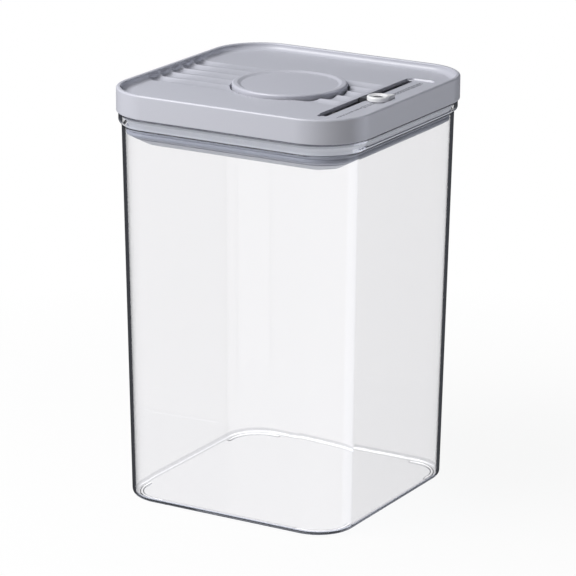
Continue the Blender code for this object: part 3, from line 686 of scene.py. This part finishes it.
def buildSeal():
    s = seal
    steps = s["lips"] * s["lipSteps"]
    low = s["bottom"] + s["lift"]
    rings = [plugRing(s["foot"], s["bottom"])]
    for step in range(steps + 1):
        share = step / steps
        swell = abs(math.sin(math.pi * share * s["lips"])) ** s["lipPower"]
        rings.append(plugRing(s["half"] - s["lipDepth"] * (1 - swell), low + (s["top"] - low) * share))
    rings += [plugRing(s["inner"], s["top"]), plugRing(s["inner"], s["bottom"])]
    item = newObject("rim_seal", loft(rings, looped=True))
    settle(item, "seal", "lid", ("perimeter_seal",))


housing = {
    "half": 47.2, "wall": 1.8, "grooveTop": 153.6, "grooveInset": 0.7, "topGap": 0.3,
    "flangeHalf": 52.3, "flangeCorner": 18.6, "flangeLow": 155.1, "flangeChamfer": 1.5,
    "chamferDrop": 0.3, "chamferRise": 1.2, "flangePlate": 1.5,
    "windowHalf": 29.0, "windowRound": 0.6, "windowDrop": 0.5,
}


def buildHousing():
    h = housing
    inner = h["half"] - h["wall"]
    flangeInner = h["flangeHalf"] - h["wall"]
    flangeInnerCorner = h["flangeCorner"] - h["wall"]
    top = plateBottom - h["topGap"]
    rings = [
        plugRing(inner, seal["bottom"]),
        plugRing(h["half"], seal["bottom"]),
        plugRing(h["half"], h["grooveTop"]),
        plugRing(seal["half"] - h["grooveInset"], h["grooveTop"]),
        squareRing(h["flangeHalf"] - h["flangeChamfer"], h["flangeCorner"] - h["flangeChamfer"],
                   h["flangeLow"] - h["chamferDrop"]),
        squareRing(h["flangeHalf"], h["flangeCorner"], h["flangeLow"] + h["chamferRise"]),
        squareRing(h["flangeHalf"], h["flangeCorner"], top),
        squareRing(flangeInner, flangeInnerCorner, top),
        squareRing(flangeInner, flangeInnerCorner, h["flangeLow"] + h["flangePlate"]),
        plugRing(inner, h["grooveTop"] + h["wall"]),
    ]
    item = newObject("plug_housing_ring", loft(rings, looped=True))
    for quarter in range(4):  # one window for each slide
        window = boxCutter(inner - overrun, h["half"] + overrun, -h["windowHalf"], h["windowHalf"],
                           h["windowRound"], seal["bottom"] - overrun, h["grooveTop"] - h["windowDrop"], 3)
        turn = Matrix.Rotation(math.radians(90 * quarter), 4, "Z")
        bmesh.ops.transform(window, matrix=turn, verts=window.verts)
        carve(item, window)
    settle(item, "inner", "lid", ("plug_housing",))


cover = {
    "half": 47.95, "bottom": 145.9, "top": 149.2, "edge": 0.3, "bevel": 0.05,
    "lowHalf": 42.65, "lowInset": 0.2, "lowRound": 0.6, "lowCorner": 8.0,
    "pocket": 38.5, "pocketCorner": 5.0, "pocketSteps": 20, "skin": 1.4, "rootSink": 0.5,
    "wellRadius": 4.3, "wellTop": 151.3, "seat": 150.0, "headBore": 3.2, "boreEdge": 0.3, "boreFlare": 0.35,
    "shankBore": 1.7, "springRadius": 16.7, "ringInner": 12.3, "ringOuter": 12.9, "ringTop": 150.1,
    "grooveHalf": 40.2, "grooveWidth": 0.8, "grooveDepth": 0.3, "grooveLip": 0.05, "grooveCorner": 8.0,
}


# A shallow groove that follows the plate's edge on its underside.
def edgeGroove():
    c = cover
    inner = c["grooveHalf"]
    outer = inner + c["grooveWidth"]
    start = c["bottom"] - overrun
    lip = c["bottom"] + c["grooveLip"]
    profile = [(outer, start), (outer, lip), (inner + c["grooveWidth"] / 2, lip + c["grooveDepth"]),
               (inner, lip), (inner, start)]
    return loft(profileRings(profile, inner, c["grooveCorner"]), looped=True)


def buildBottomCover():
    c = cover
    edge = c["top"] - c["edge"]
    floor = c["bottom"] + c["skin"]
    foot = arc(c["lowHalf"] - c["lowInset"], c["bottom"] + c["lowRound"], c["lowRound"], -90, -60, steps=4)
    rings = profileRings(foot, c["lowHalf"], c["lowCorner"])
    rings += [plugRing(c["half"] - c["bevel"], edge - c["bevel"]), plugRing(c["half"], edge),
              plugRing(c["half"], c["top"])]
    item = newObject("plug_cover", loft(rings))
    carve(item, loft([squareRing(c["pocket"], c["pocketCorner"], level, c["pocketSteps"])
                      for level in (floor, c["top"] + overrun)]))

    root = floor - c["rootSink"]
    well = [(0.0, root), (c["wellRadius"], root), (c["wellRadius"], c["wellTop"]), (0.0, c["wellTop"])]
    bore = [(0.0, c["bottom"] - overrun), (c["headBore"] + c["boreFlare"], c["bottom"] - overrun),
            (c["headBore"] + c["boreEdge"], c["bottom"]), (c["headBore"], c["bottom"] + c["boreEdge"]),
            (c["headBore"], c["seat"]), (c["shankBore"], c["seat"]),
            (c["shankBore"], c["wellTop"] + overrun), (0.0, c["wellTop"] + overrun)]
    springSeat = [(0.0, root), (c["springRadius"], root), (c["springRadius"], c["top"]),
                  (c["ringOuter"], c["top"]), (c["ringOuter"], c["ringTop"]),
                  (c["ringInner"], c["ringTop"]), (c["ringInner"], c["top"]), (0.0, c["top"])]
    raised = bmesh.new()
    holes = bmesh.new()
    for spot in bossSpots:
        turned(well, segments=48, centre=spot, mesh=raised)
        turned(bore, segments=48, centre=spot, mesh=holes)
    turned(springSeat, mesh=raised)
    carve(item, raised, "UNION")
    carve(item, holes)
    carve(item, edgeGroove())
    settle(item, "cover", "lid", ("bottom_cover",))


screw = {
    "head": 2.7, "headHeight": 1.6, "headRound": 0.7, "low": 148.1, "shank": 1.2, "length": 10.0,
    "plainStart": 0.3, "plainEnd": 1.5, "tip": 0.9, "pitch": 0.9, "thread": 0.22,
    "groove": (0.25, 0.45), "crest": (0.75, 0.85),
    "recess": 0.9, "recessWidth": 0.55, "recessReach": 1.5, "recessRun": 0.5, "recessFlare": 0.1,
    "recessRound": 0.1,
}


# A pan-head screw with a cross recess and a thread of even grooves.
def buildCoverScrew(number, spot):
    s = screw
    crown = s["low"] + s["headHeight"]
    root = s["shank"] - s["thread"]
    outline = [(0.0, s["low"])]
    outline += arc(s["head"] - s["headRound"], s["low"] + s["headRound"], s["headRound"], -90, 0, steps=6)
    outline += [(s["head"], crown), (s["shank"], crown)]
    for index in range(int((s["length"] - s["plainEnd"]) / s["pitch"])):
        low = crown + s["plainStart"] + index * s["pitch"]
        outline += [(root, low + rise) for rise in s["groove"]]
        outline += [(s["shank"], low + rise) for rise in s["crest"]]
    outline += [(root, crown + s["length"] - s["tip"]), (0.0, crown + s["length"])]
    item = newObject("plug_screw_%d" % number, turned(outline, segments=32, centre=spot))
    halfWidth = s["recessWidth"] / 2
    for crossed in (False, True):
        rings = []
        for half, level in ((halfWidth + s["recessFlare"], s["low"] - s["recessRun"]),
                            (halfWidth, s["low"] + s["recess"])):
            ring = boxRing(-s["recessReach"], s["recessReach"], -half, half, s["recessRound"], level, 2)
            if crossed:
                ring = [(-y, x, z) for x, y, z in ring]
            rings.append([(spot[0] + x, spot[1] + y, z) for x, y, z in ring])
        carve(item, loft(rings))
    settle(item, "steel", "lid", ("cover_screw_%d" % number,))


buildHousing()
buildSeal()
buildBottomCover()
for number, spot in enumerate(bossSpots, 1):
    buildCoverScrew(number, spot)
print("plug built")

spring = {"wire": 1.2, "turns": 5, "steps": 28, "sides": 10}


# The spring's foot stands on the plug's cover and its head under the button; it rides no body.
def buildSpring():
    s = spring
    lowest, highest = (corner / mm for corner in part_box("return_spring"))
    half = s["wire"] / 2
    steps = s["turns"] * s["steps"]
    climb = highest.z - half - (lowest.z + half)
    rings = []
    for index in range(steps + 1):
        angle = math.tau * index / s["steps"]
        level = lowest.z + half + climb * index / steps
        section = arc(highest.x - half, level, half, 0, 360, s["sides"])[:-1]
        rings.append([(reach * math.cos(angle), reach * math.sin(angle), height)
                      for reach, height in section])
    item = newObject("plug_spring", loft(rings))
    settle(item, "steel", None, ("return_spring",), sharp=60)
    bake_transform(item)


buildSpring()
print("spring built")

pointer = {
    "x": 40.3, "y": -1.0, "radius": 4.5, "low": 164.9, "height": 1.9, "foot": 0.2, "edge": 0.7,
    "dish": 0.6, "dishRadius": 3.75, "dishSteps": 8, "hole": 2.05, "holeEdge": 0.1, "holeRound": 0.15,
    "hollow": 3.4, "skin": 0.2,
}
tail = {
    "start": 3.9, "spread": 48, "root": 0.5, "widthShare": 0.93, "height": 1.8,
    "tipX": 4.05, "tipY": 5.7, "tipHeight": 1.65, "tipRound": 0.6, "tipSpread": 60, "tipInsetShare": 0.5,
    # Each inset stands with its share of the height.
    "insets": ((0.2, 0.0), (0.0, 0.12), (0.0, 0.72), (0.07, 0.88), (0.24, 1.0)),
}


# The tail leans to the back, from sides close to the head's round to a small rounded tip.
def tailRings():
    p = pointer
    t = tail
    reach = math.hypot(t["tipX"], t["tipY"])
    heading = math.atan2(t["tipY"], t["tipX"])
    touch = p["radius"] ** 2 / (reach + t["root"])
    side = math.sqrt(p["radius"] ** 2 - touch ** 2) * t["widthShare"]
    rings = []
    for inset, share in t["insets"]:
        tipInset = inset * t["tipInsetShare"]
        shape = [(touch, -side + inset)]
        shape += arc(reach - t["tipRound"] - tipInset, 0.0, t["tipRound"] - tipInset,
                     -t["tipSpread"], t["tipSpread"], steps=8)
        shape += [(touch, side - inset)]
        shape += arc(0.0, 0.0, t["start"], t["spread"], -t["spread"], steps=8)
        ring = []
        for forward, sideways in shape:
            slope = max(0.0, (forward - touch) / (reach - touch))
            height = t["height"] * (1 - slope) + t["tipHeight"] * slope
            ring.append((p["x"] + forward * math.cos(heading) - sideways * math.sin(heading),
                         p["y"] + forward * math.sin(heading) + sideways * math.cos(heading),
                         p["low"] + height * share))
        rings.append(ring)
    return rings


def buildPointer():
    p = pointer
    top = p["low"] + p["height"]
    shellUnder = top - p["dish"] - p["skin"]
    outline = [(p["hollow"], p["low"]), (p["radius"] - p["foot"], p["low"]),
               (p["radius"], p["low"] + p["foot"])]
    outline += arc(p["radius"] - p["edge"], top - p["edge"], p["edge"], 0, 90, steps=7)
    for step in range(1, p["dishSteps"] + 1):  # a soft dish down to the hole
        share = step / p["dishSteps"]
        reach = p["dishRadius"] + (p["hole"] + p["holeEdge"] - p["dishRadius"]) * share
        outline.append((reach, top - p["dish"] * smooth(share)))
    outline += [(p["hole"], shellUnder + p["skin"] - p["holeRound"]), (p["hole"], shellUnder),
                (p["hollow"], shellUnder)]
    item = newObject("date_pointer", turned(outline, segments=64, centre=(p["x"], p["y"])))
    carve(item, loft(tailRings()), "UNION")
    settle(item, "white", "date_slider", ("date_slider_knob",), sharp=38)


buildPointer()
print("pointer built")

innerFinishes = {
    "latch_sleeve": "white", "button_stem": "white", "cam_ring": "white", "latch_rotor": "dark",
    "rotor_washer": "steel", "rotor_screw": "steel", "date_slider_clip": "dark",
    "seal_slide_right": "white", "seal_slide_back": "white", "seal_slide_left": "white",
    "seal_slide_front": "white",
}
for name, finish in innerFinishes.items():
    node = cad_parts[name]
    node.data.materials.clear()
    node.data.materials.append(finishes[finish])
print("inner pieces finished:", len(innerFinishes))

# Camera at the photograph's place: sizes in millimetres, the roll in degrees, near and far in metres.
cameraSetup = {
    "place": (656.96, -1124.11, 468.94), "aim": (-0.142, -0.083, 82.80), "roll": -0.347,
    "focal": 212.96, "sensor": 36.0, "near": 0.01, "far": 50.0,
}


def buildCamera():
    c = cameraSetup
    data = bpy.data.cameras.new("photoCamera")
    data.sensor_width = c["sensor"]
    data.lens = c["focal"]
    data.clip_start = c["near"]
    data.clip_end = c["far"]
    item = bpy.data.objects.new("photoCamera", data)
    stage.collection.objects.link(item)
    place = Vector(c["place"]) * mm
    forward = (Vector(c["aim"]) * mm - place).normalized()
    turn = Matrix.Rotation(math.radians(c["roll"]), 3, forward)
    turn = turn @ forward.to_track_quat("-Z", "Y").to_matrix()
    item.matrix_world = Matrix.Translation(place) @ turn.to_4x4()
    stage.camera = item


# The eye looks straight at white. Reflections, and rays turned round inside the clear wall, see a
# studio that is dark at eye level, with a white table, a soft sky and ceiling and one tall box of light.
# Each rise pair is a ray's upward share where that part begins and where it is full. Lengths are in metres.
studio = {
    "ambient": 0.07, "ambientColour": (0.95, 0.97, 1.0), "mirrorColour": (0.84, 0.88, 1.0), "dark": 0.06,
    "sky": 0.35, "skyRise": (-0.14, 0.0), "table": 0.85, "tableRise": (-0.42, -0.58),
    "ceiling": 0.45, "ceilingRise": (0.40, 0.75),
    "boxSide": (0.819, 0.574, 0.0), "boxReach": 0.940, "boxSoft": 0.015, "boxLow": -0.45, "boxHigh": 0.60,
    "boxRise": (-0.262, -0.252), "boxDim": 0.6, "boxLevel": 3.6,
    "floorHalf": 4.0, "floorColour": (0.92, 0.92, 0.92), "tableGlow": 0.85, "echoLoss": 0.42,
    "shadowShare": 0.10, "shadowFade": (0.08, 0.30),
}
# Limits for counts of crossings and turns, each half a count over the last one let in.
rayLimits = {"firstWall": 3.5, "farWall": 2.5, "turns": 1.5, "echoes": 0.5}


# Which rays look straight through, and which were reflected or turned round on their way.
def sortRays(graph):
    path = graph.add("ShaderNodeLightPath")
    glossy = graph.out(path, "Glossy Depth")
    seen = graph.out(path, "Is Camera Ray").atLeast(graph.out(path, "Is Transmission Ray"))
    firstWall = 1 - graph.out(path, "Transmission Depth").above(rayLimits["firstWall"])
    turnedRound = (glossy + firstWall).above(rayLimits["turns"])
    mirrored = graph.out(path, "Is Glossy Ray").atLeast(seen * turnedRound)
    echo = glossy.above(rayLimits["echoes"]) * studio["echoLoss"]
    return seen * (1 - turnedRound), mirrored, echo


# What reflections see; rays that turn round inside a far wall don't see the box of light.
def mirroredStudio(graph, direction):
    s = studio
    rise = graph.heightOf(direction)
    heading = graph.vectorMaths("NORMALIZE", graph.vectorMaths("MULTIPLY", direction, flatten))
    facing = graph.vectorMaths("DOT_PRODUCT", heading, s["boxSide"])
    box = graph.ramp(facing, s["boxReach"] - s["boxSoft"], s["boxReach"])
    box = box * rise.above(s["boxLow"]) * (1 - rise.above(s["boxHigh"]))
    box = box * (s["boxDim"] + graph.ramp(rise, *s["boxRise"]) * s["boxLevel"])
    path = graph.add("ShaderNodeLightPath")
    farWall = graph.out(path, "Transmission Depth").above(rayLimits["farWall"])
    glow = box * (1 - farWall) + s["dark"]
    for part in ("sky", "table", "ceiling"):
        glow = glow + graph.ramp(rise, *s[part + "Rise"]) * s[part]
    return glow


def buildWorld():
    world = bpy.data.worlds.new("studio")
    world.use_nodes = True
    stage.world = world
    graph = Graph(world.node_tree)
    straight, mirrored, echo = sortRays(graph)
    direction = graph.out(graph.add("ShaderNodeTexCoord"), "Generated")
    ambient = (1 - straight) * (1 - mirrored) * studio["ambient"]
    lit = straight * (1 - echo) + mirrored * mirroredStudio(graph, direction) + ambient
    colour = graph.blend(mirrored, studio["ambientColour"], studio["mirrorColour"])
    colour = graph.blend(straight, colour, white)
    background = graph.add("ShaderNodeBackground", None, {"Color": colour, "Strength": lit})
    graph.add("ShaderNodeOutputWorld", None, {"Surface": graph.out(background)})


# White to the eye with a faint shadow, matt to soft light, and open to reflections and from below.
def buildFloor():
    s = studio
    material, graph = newMaterial("studioFloor")
    straight, mirrored, echo = sortRays(graph)
    plain = graph.ramp(graph.vectorMaths("LENGTH", graph.objectPlace()), *s["shadowFade"])
    share = 1 - straight * s["shadowShare"] * (1 - plain)
    glow = straight * (1 - echo) + (1 - straight) * s["tableGlow"]
    matt = graph.add("ShaderNodeBsdfDiffuse", None, {"Color": rgba(s["floorColour"])})
    bright = graph.add("ShaderNodeEmission", None, {"Color": rgba(white), "Strength": glow})
    shown = graph.add("ShaderNodeMixShader", None, {0: share, 1: graph.out(matt), 2: graph.out(bright)})
    below = graph.out(graph.add("ShaderNodeNewGeometry"), "Backfacing")
    gone = graph.add("ShaderNodeBsdfTransparent")
    mixed = graph.add("ShaderNodeMixShader", None, {
        0: mirrored.atLeast(below), 1: graph.out(shown), 2: graph.out(gone)})
    closeMaterial(graph, mixed)
    mesh = bmesh.new()
    bmesh.ops.create_grid(mesh, x_segments=2, y_segments=2, size=s["floorHalf"])
    floor = newObject("studioFloor", mesh)
    floor.data.materials.append(material)


# Places and sizes in metres.
lamps = {
    "key": {"place": (-0.268, -0.383, 0.617), "aim": (0.0, 0.0, 0.12), "size": (0.40, 0.40), "watts": 6.15,
            "colour": white},
}


def buildLamps():
    for name, lamp in lamps.items():
        data = bpy.data.lights.new(name, "AREA")
        data.shape = "RECTANGLE"
        data.size, data.size_y = lamp["size"]
        data.energy = lamp["watts"]
        data.color = lamp["colour"]
        item = bpy.data.objects.new(name, data)
        stage.collection.objects.link(item)
        item.location = lamp["place"]
        forward = Vector(lamp["aim"]) - Vector(lamp["place"])
        item.rotation_euler = forward.to_track_quat("-Z", "Y").to_euler()


buildCamera()
buildWorld()
buildFloor()
buildLamps()
stage.view_settings.view_transform = "Standard"
print("stage set")
